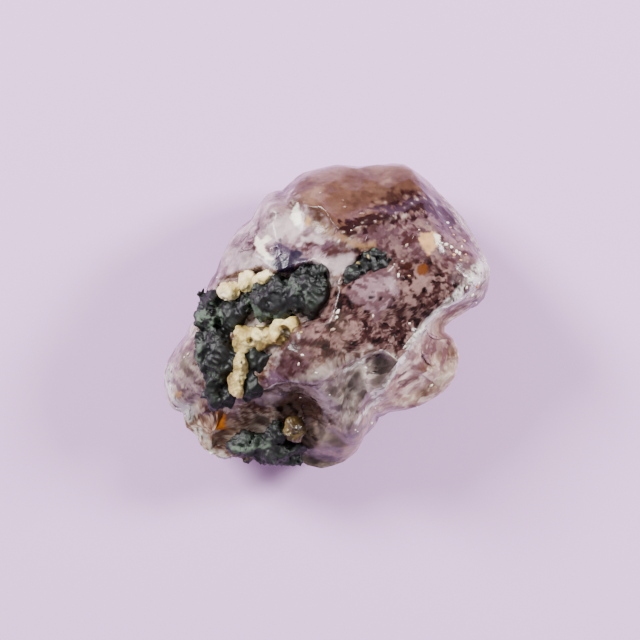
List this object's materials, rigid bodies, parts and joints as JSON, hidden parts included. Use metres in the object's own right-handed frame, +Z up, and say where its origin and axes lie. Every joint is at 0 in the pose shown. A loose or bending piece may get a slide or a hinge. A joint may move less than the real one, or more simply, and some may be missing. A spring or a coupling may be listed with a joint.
{
  "type": "rough scapolite crystal",
  "caption": "Rough see-through scapolite crystal, mauve brown, with ledges and lobes, and dark crusts and tan matrix grown into its hollows, lying on its flat back.",
  "frame": {"origin": "middle of the stone's outline box, on the plane of the flat patch that it lies on", "axes": "+Z up from the flat patch, +Y towards the dome end, +X towards the east shoulder"},
  "size_m": [0.027, 0.0255, 0.0148],
  "materials": {
    "scapolite": "see-through, mauve brown, wet gloss",
    "dark_mineral": "black green, half glossy",
    "tan_mineral": "pitted tan, waxy",
    "olive_mineral": "olive brown, waxy"
  },
  "bodies": {
    "root": {"scapolite_crystal": "scapolite", "dark_crust": "dark_mineral", "upper_dark_lump": "dark_mineral", "lower_dark_crust": "dark_mineral", "upper_tan_grains": "tan_mineral", "tan_matrix": "tan_mineral", "lower_tan_matrix": "tan_mineral", "olive_crumb": "olive_mineral"}
  },
  "joints": []
}
